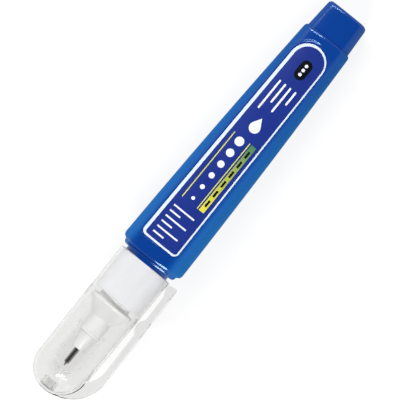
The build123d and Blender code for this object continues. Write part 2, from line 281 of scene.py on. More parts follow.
def label_rows(margin, inset, columns=16):
    """Rows of points across the label's plan, from its round tail end to its nose, drawn in from the face.

    What stands above the face fades towards the nose.
    """
    rear_half = label_rear_half + margin
    nose_half = label_nose_half + margin
    corner = label_corner + margin
    tail, nose = label_tail - margin, label_nose + margin
    bend = tail + rear_half
    stations = [(bend - rear_half * cos(a), rear_half * sin(a)) for a in spread(0, pi / 2, 20)]
    straight_end = nose - corner
    for x in spread(bend, straight_end, 48)[1:]:
        stations.append((x, rear_half + (nose_half - rear_half) * (x - bend) / (straight_end - bend)))
    for a in spread(0, pi / 2, 8)[1:]:
        stations.append((straight_end + corner * sin(a), nose_half - corner + corner * cos(a)))
    rows = []
    for x, half in stations:
        fade = 1 - bed_lip_fade * (x - tail) / (nose - tail) if inset < 0 else 1
        ys = [half * share for share in spread(-1, 1, columns)]
        rows.append([Vector((x, y, face_height(x, y, inset * fade))) for y in ys])
    return rows


def label_block(name, levels):
    """Closed block in the label's plan through (margin, inset) levels, the lowest first."""
    grids = [label_rows(margin, inset) for margin, inset in levels]

    def rim(rows):
        return [row[0] for row in rows] + rows[-1][1:-1] + [row[-1] for row in reversed(rows)]

    shape = bmesh.new()
    for rows in (grids[0], grids[-1]):
        points = [[shape.verts.new(lay @ p) for p in row] for row in rows]
        for near, far in zip(points, points[1:]):
            for corners in zip(near, near[1:], far[1:], far):
                shape.faces.new(corners)
    rims = [[shape.verts.new(lay @ p) for p in rim(rows)] for rows in grids]
    for low, high in zip(rims, rims[1:]):
        wall(shape, low, high)
    mesh = bpy.data.meshes.new(name)
    shape.to_mesh(mesh)
    shape.free()
    return tidy_object(name, mesh)


body_end = nose_edge - 2 * nose_bevel_run
body_stations = spread(barrel_rear + rear_rim_run, body_end, 56)
nose_line = eased([
    (body_end, 0, 0),
    (nose_edge - nose_bevel_run, 0, nose_round),
    (nose_edge, -nose_bevel_drop, nose_round),
    (nose_edge, -shoulder_inset, shoulder_fillet),
    (shoulder_front - shoulder_bevel_run, -shoulder_inset, shoulder_round),
    (shoulder_front, -shoulder_inset - shoulder_bevel_drop, shoulder_round),
    (shoulder_front, -shoulder_inset - shoulder_drop, 0),
], closed=False)
barrel_rings = [barrel_ring(barrel_rear, cavity_corner, barrel_wall)]
for a in spread(0, pi / 2, 12)[:-1]:
    inset = rear_rim_drop * (1 - sin(a))
    barrel_rings.append(barrel_ring(barrel_rear + rear_rim_run * (1 - cos(a)), barrel_corner - inset, inset))
barrel_rings += [barrel_ring(x, barrel_corner) for x in body_stations]
for p in nose_line[1:]:
    barrel_rings.append(barrel_ring(p.x, barrel_corner + p.y, -p.y, side_inset(p.x) + p.y))
barrel_rings += [
    round_ring(shoulder_front, neck_radius),
    round_ring(neck_front, neck_radius),
    round_ring(neck_front, spigot_radius),
    round_ring(snap_middle - snap_width / 2, spigot_radius),
    round_ring(snap_middle, spigot_radius + snap_height),
    round_ring(snap_middle + snap_width / 2, spigot_radius),
    round_ring(spigot_front, spigot_radius),
    round_ring(spigot_front, spigot_bore),
    round_ring(cavity_front, spigot_bore),
]
cavity_stations = spread(cavity_front, barrel_rear, 24)[:-1]
barrel_rings += [barrel_ring(x, cavity_corner, barrel_wall) for x in cavity_stations]
barrel = skin("barrel_shell", barrel_rings, closed=True)

lip_inner = bed_margin + bed_slope
lip_levels = [(lip_inner + bed_lip_run, bed_depth)]
for share in spread(0, 1, 8):
    lip_levels.append((lip_inner + bed_lip_run * (1 - share), bed_lip_height * (0.5 * cos(pi * share) - 0.5)))
combine(barrel, "UNION", label_block("label_lip", lip_levels))
bed_levels = []
for share in spread(0, 1, 8):
    rise = (bed_depth + bed_lip_height) * (0.5 - 0.5 * cos(pi * share))
    bed_levels.append((bed_margin + bed_slope * (share - 0.5), bed_depth - rise))
bed_levels += [(lip_inner, -bed_lip_height), (lip_inner, -bed_cut_height)]
combine(barrel, "DIFFERENCE", label_block("label_bed", bed_levels))
for vertex in barrel.data.vertices:
    vertex.co.z = max(0, vertex.co.z)


class Tone:
    """A shader socket that adds its own Math nodes where it stands in a Python sum."""

    def __init__(self, tree, socket=None):
        self.tree = tree
        self.socket = socket

    def node(self, kind, settings=None, sockets=None, output=0):
        """Any node, by its type, its settings and the values or links of its sockets."""
        made = self.tree.nodes.new(kind)
        for name, setting in (settings or {}).items():
            setattr(made, name, setting)
        for name, value in (sockets or {}).items():
            if isinstance(value, Tone):
                self.tree.links.new(value.socket, made.inputs[name])
            else:
                made.inputs[name].default_value = value
        return Tone(self.tree, made.outputs[output] if len(made.outputs) else None)

    def sibling(self, output):
        """Another output of the node that this one comes from."""
        return Tone(self.tree, self.socket.node.outputs[output])

    def math(self, operation, *terms):
        return self.node("ShaderNodeMath", {"operation": operation}, dict(enumerate(terms)))

    def __add__(self, other):
        return self.math("ADD", self, other)

    def __radd__(self, other):
        return self.math("ADD", other, self)

    def __sub__(self, other):
        return self.math("SUBTRACT", self, other)

    def __rsub__(self, other):
        return self.math("SUBTRACT", other, self)

    def __mul__(self, other):
        return self.math("MULTIPLY", self, other)

    def __rmul__(self, other):
        return self.math("MULTIPLY", other, self)

    def __truediv__(self, other):
        return self.math("DIVIDE", self, other)

    def __abs__(self):
        return self.math("ABSOLUTE", self)

    def __lt__(self, other):
        return self.math("LESS_THAN", self, other)

    def __gt__(self, other):
        return self.math("GREATER_THAN", self, other)

    def mix(self, low, high):
        """Colour that goes from low, where this is 0, to high, where it is 1."""
        low, high = (c if isinstance(c, Tone) else (*c, 1) for c in (low, high))
        return self.node("ShaderNodeMix", {"data_type": "RGBA"}, {0: self, 6: low, 7: high}, output=2)


class Finish:
    """A material: one Principled shader with constants on its sockets, and tones that drive some of them."""

    def __init__(self, name, **constants):
        self.material = bpy.data.materials.new(name)
        self.material.use_nodes = True
        tree = self.material.node_tree
        self.shader = tree.nodes["Principled BSDF"]
        for socket, value in constants.items():
            self.shader.inputs[socket.replace("_", " ")].default_value = value
        self.tone = Tone(tree)
        self.place = self.tone.node("ShaderNodeTexCoord", output="Object")

    def noise(self, size, detail=2.0, closeness=(1, 1, 1)):
        """Soft noise with grains of about a size in millimetres, drawn out along axes of low closeness."""
        by_axis = {0: self.place, 1: closeness}
        place = self.tone.node("ShaderNodeVectorMath", {"operation": "MULTIPLY"}, by_axis)
        sockets = {"Vector": place, "Scale": 1 / (size * MM), "Detail": detail}
        return self.tone.node("ShaderNodeTexNoise", None, sockets)

    def drive(self, socket, tone):
        self.tone.tree.links.new(tone.socket, self.shader.inputs[socket])

    def end(self, socket, tone):
        self.tone.tree.links.new(tone.socket, self.tone.tree.nodes["Material Output"].inputs[socket])

    def bump(self, height, distance):
        """Relief of a height from 0 to 1, so many millimetres deep."""
        sockets = {"Height": height, "Distance": distance * MM, "Strength": 1.0}
        self.drive("Normal", self.tone.node("ShaderNodeBump", None, sockets))

    def fill(self, kind, **constants):
        """Inside of the material, for light that goes through it."""
        self.end("Volume", self.tone.node(kind, None, constants))

    def dress(self, piece):
        piece.data.materials.clear()
        piece.data.materials.append(self.material)


def srgb(red, green, blue):
    """Linear colour of a display colour in 0 to 255."""
    def linear(level):
        share = level / 255
        return share / 12.92 if share <= 0.04045 else ((share + 0.055) / 1.055) ** 2.4
    return tuple(linear(level) for level in (red, green, blue))


painted_light_start = 0.48
dull_start = 0.55
blue = Finish("blue polypropylene", IOR=1.49, Specular_Tint=(0.5, 0.75, 1.0, 1))
cloud = blue.noise(14)
grain = blue.noise(0.22, 3)
flow = blue.noise(1.1, 3, (0.12, 1, 1))
# Painted light: the blue is painted paler and cyan far from the pen's middle line, standing in for light that
# glows through the thin sides; the plastic is also duller near the barrel's sides
station = blue.tone.node("ShaderNodeSeparateXYZ", None, {0: blue.place})
beside = abs(station.sibling("Y"))
half_here = station * ((nose_width - rear_width) / 2 / barrel_length) + (nose_width + rear_width) / 4 * MM


def near_edge(share, start):
    """Tone that rises softly from 0 at a share of the half width to 1 at the edge."""
    return blue.tone.node("ShaderNodeMapRange", {"interpolation_type": "SMOOTHSTEP"},
                          {"Value": share, "From Min": start, "From Max": 1.0})


painted_edge_light = near_edge(beside / (nose_width / 2 * MM), painted_light_start)
edge_dull = near_edge(beside / half_here, dull_start)
deep = (cloud * 0.7 + flow * 0.3).mix(srgb(6, 55, 138), srgb(12, 66, 152))
# Painted edge light: a paler cyan blue painted towards the barrel's sides
blue.drive("Base Color", painted_edge_light.mix(deep, srgb(12, 112, 192)))
blue.drive("Roughness", 0.09 + flow * 0.05 + grain * 0.03 + edge_dull * 0.88)
blue.bump(grain * 0.35 + flow * 0.65, 0.012)
blue.dress(barrel)
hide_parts("barrel")
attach(barrel, "pen")

# Mixing ball: a ground steel ball, loose in the reservoir, that stirs the fluid when the pen is shaken.
# Its ground skin has faint lapping marks that run every way.
ball_steel = Finish("ground steel", Metallic=1.0)
lapping = ball_steel.noise(0.3, 4)
ball_steel.drive("Base Color", lapping.mix(srgb(176, 178, 180), srgb(200, 201, 203)))
ball_steel.drive("Roughness", 0.12 + lapping * 0.14)
ball_steel.bump(lapping, 0.004)
ball_steel.dress(frame["nodes"]["mixing_ball"])

# Tail plug: the blue end block, moulded in the barrel's plastic, with a hollow stub that is pushed into the
# barrel's open rear end. Its outer end has a soft edge all round.
tail_end_width = 13.4
tail_end_depth = 10.9
tail_front_width = 14.6
tail_front_depth = 12.0
tail_corner = 2.2
tail_end_round = 1.1
tail_wall = 1.5
stub_inset = 1.65
stub_length = 6.0


def tail_ring(x, inset=0.0):
    share = x / tail_length
    width = tail_end_width + (tail_front_width - tail_end_width) * share
    depth = tail_end_depth + (tail_front_depth - tail_end_depth) * share
    return oval(x, width, depth, tail_corner - inset, inset)


core_width = rear_width - 2 * (stub_inset + tail_wall)
core_depth = rear_depth - 2 * (stub_inset + tail_wall)
stub_end = barrel_rear + stub_length
tail_rings = []
for a in spread(0, pi / 2, 8):
    tail_rings.append(tail_ring(tail_end_round * (1 - cos(a)), tail_end_round * (1 - sin(a))))
tail_rings += [tail_ring(x) for x in spread(tail_end_round, tail_length, 8)[1:]]
tail_rings += [barrel_ring(x, cavity_corner, stub_inset) for x in (barrel_rear, stub_end)]
tail_rings += [oval(x, core_width, core_depth, cavity_corner) for x in (stub_end, tail_wall)]
tail_plug = skin("tail_plug_shell", tail_rings)
blue.dress(tail_plug)
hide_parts("tail_plug")
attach(tail_plug, "pen")

# Label: a printed film stuck into the bed on the barrel's upper face, round at the tail end. A white margin
# frames a dark blue field of plain marks: a pill, bars, a drop, a dashed stripe, lines, dots and a comb.
# The marks are placed by u, along the label from its tail end, and by v, across it.
label_film = 0.12
print_margin = 0.73
print_shift = 0.25
pill_from = 4.8
pill_to = 11.2
pill_middle = 0.4
pill_half = 1.8
pill_dots = 3
pill_dot_from = 6.5
pill_dot_pitch = 1.5
pill_dot_radius = 0.52
bars_from = 14.2
bar_ends = ((24.5, -2.9), (21.0, -1.0), (23.0, 0.9), (19.0, 2.8))
bar_half = 0.3
drop_point = 26.2
drop_shoulder = 28.7
drop_middle = 29.6
drop_radius = 1.7
drop_slope = 0.6
stripe_from = 34
stripe_to = 58
stripe_low = 2.5
stripe_high = 4.2
dash_from = 36
dash_pitch = 3.6
dash_length = 2.2
dash_low = 3.0
dash_high = 3.7
line_places = (-3.7, 1.9)
line_half = 0.14
row_marks = 6
row_from = 35.4
row_pitch = 4.2
row_middle = -0.9
row_radius = 1.4
row_shrink = 0.17
comb_from = 61
comb_pitch = 1.9
comb_width = 0.5
comb_low = -4.0
comb_lengths = (7.4, 3.8)
label = label_block("label_film", [(0, bed_depth), (0, bed_depth - label_film)])
film = Finish("printed film", IOR=1.5, Specular_IOR_Level=0.3)
place = film.tone.node("ShaderNodeSeparateXYZ", None, {0: film.place})
tail_mark = lay @ Vector((label_tail, 0, face_height(label_tail, 0, bed_depth)))
u = (place - tail_mark.x) * (1 / MM)
v = place.sibling("Y") * (1 / MM) - print_shift


def larger(a, b):
    return film.tone.math("MAXIMUM", a, b)


def span(a, b):
    """Length of a plane vector of two tones."""
    return film.tone.math("SQRT", a * a + b * b)


def bar(u_from, u_to, v_middle, half):
    """Mask of a bar along the label with round ends."""
    middle = (u_from + u_to) / 2
    reach = (u_to - u_from) / 2 - half
    past = larger(abs(u - middle) - reach, 0)
    return span(past, v - v_middle) < half


def block(u_from, u_to, v_from, v_to):
    """Mask of a square-cornered patch."""
    across = abs(v - (v_from + v_to) / 2) - (v_to - v_from) / 2
    along = abs(u - (u_from + u_to) / 2) - (u_to - u_from) / 2
    return larger(across, along) < 0


def dot(u_middle, v_middle, radius):
    return span(u - u_middle, v - v_middle) < radius


print_length = label_nose - label_tail
widening = (label_nose_half - label_rear_half) / (print_length - label_rear_half)
half_at = label_rear_half + (larger(u, label_rear_half) - label_rear_half) * widening
to_tail = half_at - span(larger(label_rear_half - u, 0), v)
past_u = larger(u - (print_length - label_corner), 0)
past_v = larger(abs(v) - (half_at - label_corner), 0)
edge = film.tone.math("MINIMUM", to_tail, label_corner - span(past_u, past_v))

white_ink = srgb(240, 244, 252)
yellow_ink = srgb(226, 226, 90)
black_ink = srgb(10, 12, 22)
wash = film.noise(9)
field_ink = wash.mix(srgb(27, 45, 128), srgb(35, 58, 146))
along_stripe = (u - stripe_from) * (1 / (stripe_to - stripe_from))
stripe_ink = along_stripe.mix(srgb(70, 132, 92), srgb(232, 224, 60))
printed = (edge > print_margin).mix(srgb(226, 237, 251), field_ink)
printed = bar(pill_from, pill_to, pill_middle, pill_half).mix(printed, black_ink)
for i in range(pill_dots):
    printed = dot(pill_dot_from + pill_dot_pitch * i, pill_middle, pill_dot_radius).mix(printed, white_ink)
for bar_to, bar_middle in bar_ends:
    printed = bar(bars_from, bar_to, bar_middle, bar_half).mix(printed, white_ink)
drop_half = (u - drop_point) * drop_slope
drop_cone = (abs(v) < drop_half) * (u < drop_shoulder) * (u > drop_point)
printed = larger(span(u - drop_middle, v) < drop_radius, drop_cone).mix(printed, white_ink)
printed = block(stripe_from, stripe_to, stripe_low, stripe_high).mix(printed, stripe_ink)
for i in range(row_marks):
    dash_start = dash_from + dash_pitch * i
    printed = block(dash_start, dash_start + dash_length, dash_low, dash_high).mix(printed, black_ink)
for v_line in line_places:
    printed = block(stripe_from, stripe_to, v_line - line_half, v_line + line_half).mix(printed, yellow_ink)
for i in range(row_marks):
    printed = dot(row_from + row_pitch * i, row_middle, row_radius - row_shrink * i).mix(printed, white_ink)
for i in range(row_marks):
    tooth = comb_from + comb_pitch * i
    tooth_top = comb_low + comb_lengths[i % 2]
    printed = block(tooth, tooth + comb_width, comb_low, tooth_top).mix(printed, white_ink)
film.drive("Base Color", printed)
ripple = film.noise(2.6, 3)
film.drive("Roughness", 0.2 + ripple * 0.1)
film.bump(ripple, 0.01)
film.dress(label)
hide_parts("front_label")
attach(label, "pen")

# Collar: the white polystyrene sleeve that the cap grips, snapped onto the barrel's spigot. Like all the
# turned pieces it is an outline of rounded corners, turned about the pen's axis.
moulded_fit = 0.05
collar_radius = 7.85
collar_bore = spigot_radius + moulded_fit
collar_length = 13.5
collar_round = 0.6
collar_edge = 0.15
collar_front = neck_front + collar_length
turning_steps = 96


def start_tree(name, inputs):
    """New Geometry Nodes tree with named inputs of some kinds, and those inputs as tones."""
    tree = bpy.data.node_groups.new(name, "GeometryNodeTree")
    for label, kind in inputs.items():
        tree.interface.new_socket(label, in_out="INPUT", socket_type="NodeSocket" + kind)
    tree.interface.new_socket("Piece", in_out="OUTPUT", socket_type="NodeSocketGeometry")
    given = tree.nodes.new("NodeGroupInput").outputs
    return Tone(tree), [Tone(tree, given[label]) for label in inputs]


def end_tree(tone, shape, finish):
    """Ends a tree with its shape made real and given a finish."""
    real = tone.node("GeometryNodeRealizeInstances", None, {"Geometry": shape})
    dressed = tone.node("GeometryNodeSetMaterial", None, {"Geometry": real, "Material": finish})
    tone.node("NodeGroupOutput", None, {"Piece": dressed})
    return tone.tree


def lathe_tree():
    """Geometry Nodes tree that turns the points of an outline about the x axis into one closed skin."""
    tone, (outline, steps, finish) = start_tree("outline turned about the pen axis", {
        "Outline": "Geometry", "Steps round": "Int", "Finish": "Material",
    })
    count = tone.node("GeometryNodeAttributeDomainSize", {"component": "MESH"}, {0: outline})
    columns = steps + 1
    grid = tone.node("GeometryNodeMeshGrid", None, {"Vertices X": count, "Vertices Y": columns})
    index = tone.node("GeometryNodeInputIndex")
    row = tone.math("FLOOR", (index + 0.5) / columns)
    angle = (index - row * columns) * (2 * pi) / steps
    point = tone.node(
        "GeometryNodeSampleIndex", {"data_type": "FLOAT_VECTOR", "domain": "POINT"},
        {"Geometry": outline, "Value": tone.node("GeometryNodeInputPosition"), "Index": row},
    )
    along = tone.node("ShaderNodeSeparateXYZ", None, {0: point})
    radius = along.sibling("Y")
    turned_to = tone.node(
        "ShaderNodeCombineXYZ", None,
        {"X": along, "Y": radius * tone.math("COSINE", angle), "Z": radius * tone.math("SINE", angle)},
    )
    skin_grid = tone.node("GeometryNodeSetPosition", None, {"Geometry": grid, "Position": turned_to})
    merged = tone.node("GeometryNodeMergeByDistance", None, {"Geometry": skin_grid, "Distance": merge_gap})
    return end_tree(tone, merged, finish)


lathe = lathe_tree()


def run_tree(name, mesh, tree, inputs):
    """The plain mesh that a tree makes of a mesh, with the tree's inputs set by name."""
    blank = bpy.data.objects.new(name, mesh)
    bpy.context.scene.collection.objects.link(blank)
    worker = blank.modifiers.new(tree.name, "NODES")
    worker.node_group = tree
    for socket in tree.interface.items_tree:
        if socket.name in inputs:
            worker[socket.identifier] = inputs[socket.name]
    made = plain_mesh(blank)
    bpy.data.objects.remove(blank)
    return made


def guarded(outline, guard=0.12):
    """Outline with a point close to each end of its long stretches, so that shading stays true along them."""
    points = []
    for here, ahead in zip(outline, outline[1:]):
        here, ahead = Vector(here[:2]), Vector(ahead[:2])
        points.append(here)
        if (ahead - here).length > 4 * guard:
            step = (ahead - here).normalized() * guard
            points += [here + step, ahead - step]
    return points + [Vector(outline[-1][:2])]


def turned(name, outline, finish):
    """Object turned about the pen's axis from an outline of (x, radius) points."""
    line = bpy.data.meshes.new(name)
    points = guarded(outline)
    line.from_pydata([(p.x, p.y, 0) for p in points], [(i, i + 1) for i in range(len(points) - 1)], [])
    inputs = {"Steps round": turning_steps, "Finish": finish.material}
    mesh = run_tree(name, line, lathe, inputs)
    mesh.transform(lay)
    return tidy_object(name, mesh)


white = Finish("white polystyrene", IOR=1.5)
mist = white.noise(6)
pores = white.noise(0.18, 3)
white.drive("Base Color", mist.mix(srgb(240, 241, 245), srgb(246, 246, 248)))
white.drive("Roughness", 0.32 + pores * 0.12)
white.bump(pores, 0.01)
collar = turned("collar_sleeve", eased([
    (neck_front, collar_bore, collar_edge),
    (neck_front, collar_radius, collar_edge),
    (collar_front, collar_radius, collar_round),
    (collar_front, collar_bore, collar_edge),
    (snap_middle + snap_width / 2, collar_bore, 0),
    (snap_middle, collar_bore + snap_height, 0),
    (snap_middle - snap_width / 2, collar_bore, 0),
]), white)
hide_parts("front_collar")
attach(collar, "pen")

# Nozzle: the milky polypropylene nose that plugs the spigot: a flange, a cone, a stem with a sealing bead and
# a taper that holds the metal tip. A little light goes through it.
groove_width = 1.9
groove_radius = 5.2
flange_radius = 7.1
flange_length = 0.8
cone_length = 4.4
stem_radius = 3.45
stem_length = 5.6
bead_radius = 3.7
bead_width = 0.9
taper_rear = 2.9
taper_front = 2.1
taper_length = 5.2
plug_depth = 6.0
plug_radius = spigot_bore - moulded_fit
plug_wall = 1.0
funnel_length = 8.0
seat_radius = 1.9
seat_front = 110.6
sleeve_radius = 1.5
sleeve_front = 122.0
tip_radius = 0.85
press_gap = 0.02
nozzle_edge = 0.1
plug_round = 0.3
flange_rear_round = 0.2
flange_front_round = 0.25
cone_round = 0.4
bead_round = 0.12
taper_round = 0.25

flange_rear = collar_front + groove_width
flange_front = flange_rear + flange_length
cone_front = flange_front + cone_length
stem_front = cone_front + stem_length
nozzle_front = stem_front + taper_length
plug_rear = spigot_front - plug_depth

milky = Finish("milky polypropylene", IOR=1.49, Transmission_Weight=0.05)
curd = milky.noise(3)
silk = milky.noise(0.2, 3)
milky.drive("Base Color", curd.mix(srgb(246, 246, 245), srgb(251, 251, 250)))
milky.drive("Roughness", 0.34 + silk * 0.12)
milky.bump(silk, 0.008)
nozzle = turned("nozzle_cone", eased([
    (plug_rear, plug_radius - plug_wall, 0),
    (plug_rear, plug_radius, plug_round),
    (spigot_front, plug_radius, 0),
    (spigot_front, spigot_radius, nozzle_edge),
    (collar_front, spigot_radius, nozzle_edge),
    (collar_front, groove_radius, nozzle_edge),
    (flange_rear, groove_radius, nozzle_edge),
    (flange_rear, flange_radius, flange_rear_round),
    (flange_front, flange_radius, flange_front_round),
    (cone_front, stem_radius, cone_round),
    (stem_front - bead_width, stem_radius, nozzle_edge),
    (stem_front - bead_width * 3 / 4, bead_radius, bead_round),
    (stem_front - bead_width / 4, bead_radius, bead_round),
    (stem_front, taper_rear, nozzle_edge),
    (nozzle_front, taper_front, taper_round),
    (nozzle_front, tip_radius + press_gap, 0),
    (sleeve_front, tip_radius + press_gap, 0),
    (sleeve_front, sleeve_radius, 0),
    (seat_front, sleeve_radius, 0),
    (seat_front, seat_radius, 0),
    (plug_rear + funnel_length, seat_radius, 0),
]), milky)
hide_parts("nozzle")
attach(nozzle, "pen")

# Spring seat: a slotted plug, moulded in the collar's white plastic and pressed into the nozzle from behind.
# It carries the spring and guides the needle's tail.
white.dress(frame["nodes"]["spring_seat"])

# Tip tube: the nickel-plated brass writing tip, turned on a lathe and pressed into the nozzle from behind.
# Its cone-shaped mouth has an inner seat that the needle shuts.
tip_reach = 5.3
tip_bore = 0.62
tip_mouth = 0.74
tip_cone = 0.2
orifice = 0.3
orifice_length = 0.5
valve_cone = 0.4
sleeve_rear = 117.2
sleeve_bore = 1.15
sleeve_end_wall = 0.6
sleeve_round = 0.1
tip_round = 0.15
mouth_round = 0.08
orifice_round = 0.04
tip_front = nozzle_front + tip_reach
sleeve_floor = sleeve_front - sleeve_end_wall

metal = Finish("nickel plate", Metallic=1.0)
lathe_lines = metal.noise(0.05, 2, (1, 0.03, 0.03))
tarnish = metal.noise(1.2, 3)
metal.drive("Base Color", tarnish.mix(srgb(140, 137, 131), srgb(164, 160, 154)))
metal.drive("Roughness", 0.05 + lathe_lines * 0.06)
metal.bump(lathe_lines, 0.006)
tip_tube = turned("tip_tube_metal", eased([
    (sleeve_rear, sleeve_bore, 0),
    (sleeve_rear, sleeve_radius - press_gap, sleeve_round),
    (sleeve_front, sleeve_radius - press_gap, 0),
    (sleeve_front, tip_radius, 0),
    (tip_front - tip_cone, tip_radius, tip_round),
    (tip_front, tip_mouth, mouth_round),
    (tip_front, orifice, orifice_round),
    (tip_front - orifice_length, orifice, 0),
    (tip_front - orifice_length - valve_cone, tip_bore, 0),
    (sleeve_floor, tip_bore, 0),
    (sleeve_floor, sleeve_bore, 0),
]), metal)
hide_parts("tip_tube")
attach(tip_tube, "pen")

# Valve needle: a turned steel pin, plated like the tip, whose point stands out of it. Pressed on paper, it
# slides back against its spring and lets fluid out.
needle_reach = 0.9
needle_rod = 0.24
needle_shaft = 0.55
needle_flange = 1.05
needle_flange_length = 0.8
needle_flange_gap = 1.9
needle_tail = 0.5
needle_tail_length = 9.8
needle_edge = 0.1
needle_point_round = 0.15
valve_gap = 0.03
needle_front = tip_front + needle_reach
needle_flange_front = sleeve_floor - needle_flange_gap
needle_flange_rear = needle_flange_front - needle_flange_length
valve_slope = (tip_bore - orifice) / valve_cone
needle_cone = tip_front - orifice_length - valve_cone + (tip_bore - needle_shaft) / valve_slope - valve_gap
needle = turned("valve_needle_pin", eased([
    (needle_flange_rear - needle_tail_length, 0, 0),
    (needle_flange_rear - needle_tail_length, needle_tail, needle_edge),
    (needle_flange_rear, needle_tail, 0),
    (needle_flange_rear, needle_flange, needle_edge),
    (needle_flange_front, needle_flange, needle_edge),
    (needle_flange_front, needle_shaft, 0),
    (needle_cone, needle_shaft, 0),
    (needle_cone + (needle_shaft - needle_rod) / valve_slope, needle_rod, 0),
    (needle_front, needle_rod, needle_point_round),
    (needle_front, 0, 0),
], closed=False), metal)
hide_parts("valve_needle")
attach(needle, "needle")

# Needle spring: a coil of drawn steel wire between the seat and the needle's flange. It shortens as the
# needle goes in.
spring_turns = 10
spring_radius = 0.82
spring_wire = 0.125
spring_end_gap = 0.02
steps_a_turn = 24
wire_sides = 10


def coil_tree():
    """Geometry Nodes tree that winds a round wire into a coil along the z axis."""
    tone, (_, turns, radius, wire_radius, length, finish) = start_tree("wound wire", {
        "Blank": "Geometry", "Turns": "Float", "Coil radius": "Float", "Wire radius": "Float",
        "Length": "Float", "Finish": "Material",
    })
    helix = tone.node("GeometryNodeCurveSpiral", None, {
        "Resolution": steps_a_turn, "Rotations": turns, "Height": length,
        "Start Radius": radius, "End Radius": radius,
    })
    section = {"Resolution": wire_sides, "Radius": wire_radius}
    wire = tone.node("GeometryNodeCurvePrimitiveCircle", None, section)
    winding = {"Curve": helix, "Profile Curve": wire, "Fill Caps": True}
    coil = tone.node("GeometryNodeCurveToMesh", None, winding)
    return end_tree(tone, coil, finish)


wire_steel = Finish("drawn spring steel", Metallic=1.0)
draw_lines = wire_steel.noise(0.12, 3)
wire_steel.drive("Base Color", draw_lines.mix(srgb(150, 151, 154), srgb(184, 185, 188)))
wire_steel.drive("Roughness", 0.24 + draw_lines * 0.12)
wire_steel.bump(draw_lines, 0.004)
spring_start = seat_front + spring_end_gap + spring_wire
spring_end = needle_flange_rear - spring_end_gap - spring_wire
coil = run_tree("needle_spring", bpy.data.meshes.new("needle_spring"), coil_tree(), {
    "Turns": float(spring_turns), "Coil radius": spring_radius, "Wire radius": spring_wire,
    "Length": spring_end - spring_start, "Finish": wire_steel.material,
})
coil.transform(lay @ Matrix.Translation((spring_start, 0, 0)) @ Matrix.Rotation(pi / 2, 4, "Y"))
spring = tidy_object("needle_spring_coil", coil)
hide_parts("needle_spring")
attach(spring, "pen")
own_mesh(spring)

# Cap: one clear polystyrene moulding, a slightly tapered tube with a round end, a boss inside that holds the
# seal's post, and a springy clip with a nub, moulded on at the round end.
cap_rim_gap = 0.1
cap_rim = neck_front + cap_rim_gap
cap_length = 46.8
cap_rim_radius = 8.85
cap_rim_round = 0.3
dome_radius = 8.5
dome_steps = 28
cap_wall = 0.9
grip_bore = collar_radius + moulded_fit
grip_reach = 0.6
grip_front = collar_front + grip_reach
grip_ramp = 4.0
boss_radius = 2.4
boss_length = 3.0
boss_hole_radius = 1.32
boss_hole_depth = 2.4
clip_half_width = 2.4
clip_thickness = 1.85
clip_setback = 0.1
clip_tip_gap = 1.2
clip_tip_round = 0.6
clip_foot_gap = 0.25
clip_foot_length = 1.8
clip_foot_run = 2.2
clip_foot_round = 2.0
clip_root_gap = 2.2
clip_root_setback = 0.7
clip_bend_length = 6.2
clip_crown_run = 4.1
clip_edge_round = 0.4
clip_edge_steps = 4
clip_edge_angle = 50
nub_place = 15.1
nub_length = 5.2
nub_gap = 0.5
hollow_overrun = 1.0
cap_crease = 18

cap_front = cap_rim + cap_length
dome_centre = cap_front - dome_radius
cap_bore = dome_radius - cap_wall
boss_rear = dome_centre + cap_bore - boss_length


def dome(radius, from_radius, to_radius, steps=18):
    """Outline of the cap's round end between two distances from the axis."""
    angles = spread(acos(min(1, from_radius / radius)), acos(to_radius / radius), steps)
    return [Vector((dome_centre + radius * sin(a), radius * cos(a))) for a in angles]


def cap_radius(x):
    """Radius of the cap's tapered tube at a station."""
    return cap_rim_radius + (dome_radius - cap_rim_radius) * (x - cap_rim) / (dome_centre - cap_rim)


def tangent_arc(start, heading, end, steps=12):
    """Points of the arc that leaves start along a heading and ends at end, without its first point."""
    chord = end - start
    normal = Vector((-heading.y, heading.x)).normalized()
    radius = chord.length_squared / (2 * chord.dot(normal))
    centre = start + normal * radius
    first, last = start - centre, end - centre
    sweep = first.angle_signed(last)
    base = atan2(first.y, first.x)
    turns = [base - sweep * share for share in spread(0, 1, steps)[1:]]
    return [centre + Vector((cos(a), sin(a))) * abs(radius) for a in turns]


def spread_line(start, end, steps):
    return [start.lerp(end, share) for share in spread(0, 1, steps)]


def arc_heading(start, middle, end):
    """Direction in which the arc through three points leaves the first of them."""
    heading = middle - start
    heading.rotate(Matrix.Rotation(-(end - start).angle_signed(heading), 2))
    return heading


def clip_outline():
    """Side view of the clip: round its free end, along its inside, round its root and back outside."""
    tip = cap_rim + clip_setback
    gap_end = dome_centre - clip_root_setback
    bend = gap_end - clip_bend_length
    inner_tip = cap_radius(tip) + clip_tip_gap
    slope = (cap_radius(bend) + clip_root_gap - inner_tip) / (bend - tip)
    crown = dome_centre - clip_crown_run

    def inner(x):
        return Vector((x, inner_tip + slope * (x - tip)))

    def outer(x):
        return inner(x) + Vector((0, clip_thickness))

    heading = Vector((1, slope))
    nub = tip + nub_place
    nub_low = Vector((nub, cap_radius(nub) + nub_gap))
    nub_start, nub_end = inner(nub - nub_length / 2), inner(nub + nub_length / 2)
    foot_reach = cap_radius(tip) + clip_foot_gap
    foot_front = tip + clip_foot_length
    foot_end = foot_front + clip_foot_run
    outline = eased([
        (*outer(foot_end), 0),
        (*outer(tip), clip_tip_round),
        (tip, foot_reach, clip_tip_round),
        (foot_front, foot_reach, clip_foot_round),
        (*inner(foot_end), clip_foot_round),
        (*nub_start, 0),
    ], closed=False)
    outline += tangent_arc(nub_start, arc_heading(nub_start, nub_low, nub_end), nub_end)
    outline += spread_line(nub_end, inner(bend), 10)[1:]
    outline += tangent_arc(inner(bend), heading, Vector((gap_end, cap_radius(gap_end) - cap_wall / 2)))
    outline += [Vector((dome_centre, 0)), Vector((cap_front - cap_wall / 2, 0))]
    outline += tangent_arc(outer(crown), heading, outline[-1], 20)[-2::-1]
    return outline + spread_line(outer(crown), outer(foot_end), 24)[:-1]


